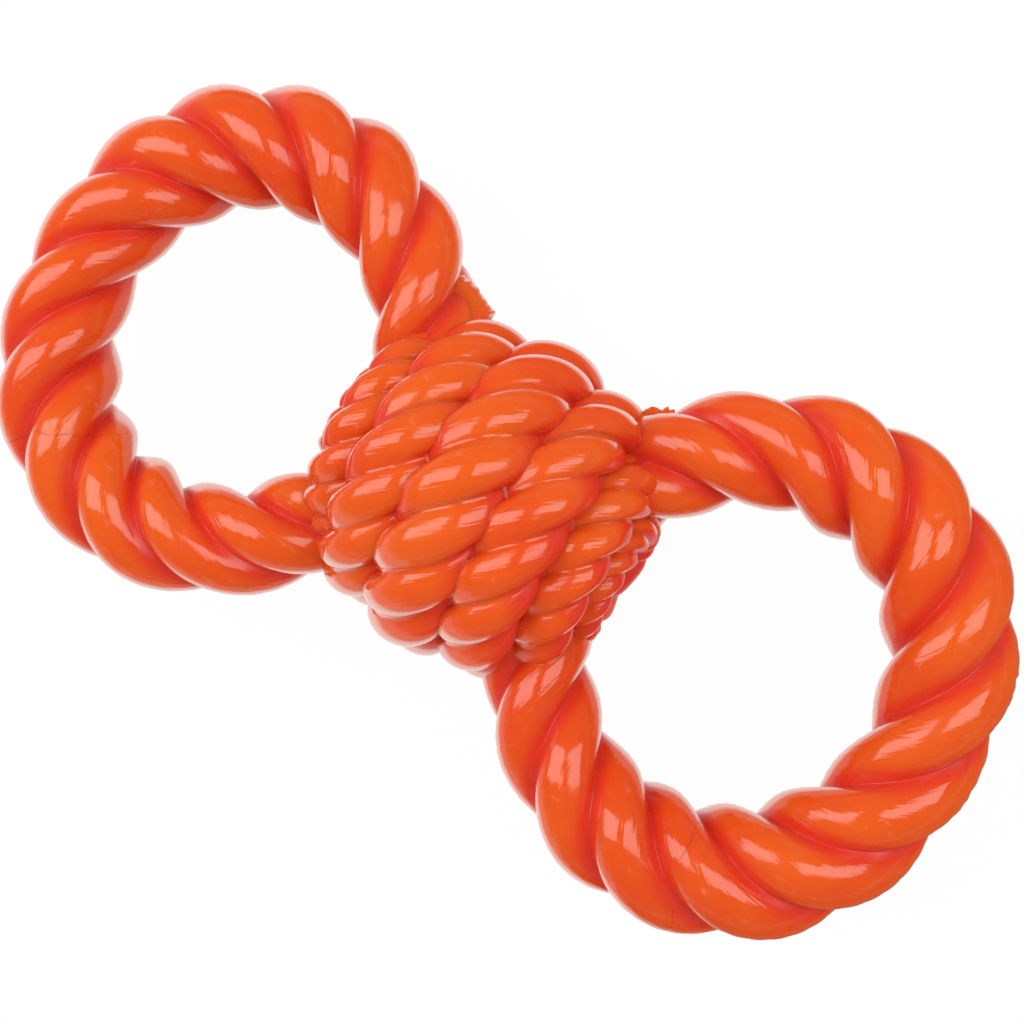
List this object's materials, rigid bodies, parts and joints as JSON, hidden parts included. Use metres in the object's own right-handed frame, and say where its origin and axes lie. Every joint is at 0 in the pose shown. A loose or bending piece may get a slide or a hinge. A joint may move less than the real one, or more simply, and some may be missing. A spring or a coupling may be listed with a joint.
{
  "type": "tug toy",
  "caption": "Figure-8 pull toy moulded as laid rope: a ring to grip at each end of a barrel-shaped knot of wound rope.",
  "frame": {"origin": "the toy's centre of mass, on its long axis and in the plane of both rings, 1 mm from the middle of the knot", "axes": "+X along the toy from ring 1 through the knot to ring 2, +Y across the rings, +Z square to the plane of the rings, up as the toy lies"},
  "size_m": [0.2765, 0.1356, 0.0855],
  "materials": {
    "moulded_rubber": "glossy orange moulding, smooth from a polished mould, with trimmed flash and faint weld lines"
  },
  "bodies": {
    "root": {"knot_wrap": "moulded_rubber", "knot_core": "moulded_rubber", "ring_1_strand_1": "moulded_rubber", "ring_1_strand_2": "moulded_rubber", "ring_1_strand_3": "moulded_rubber", "ring_2_strand_1": "moulded_rubber", "ring_2_strand_2": "moulded_rubber", "ring_2_strand_3": "moulded_rubber"}
  },
  "joints": []
}
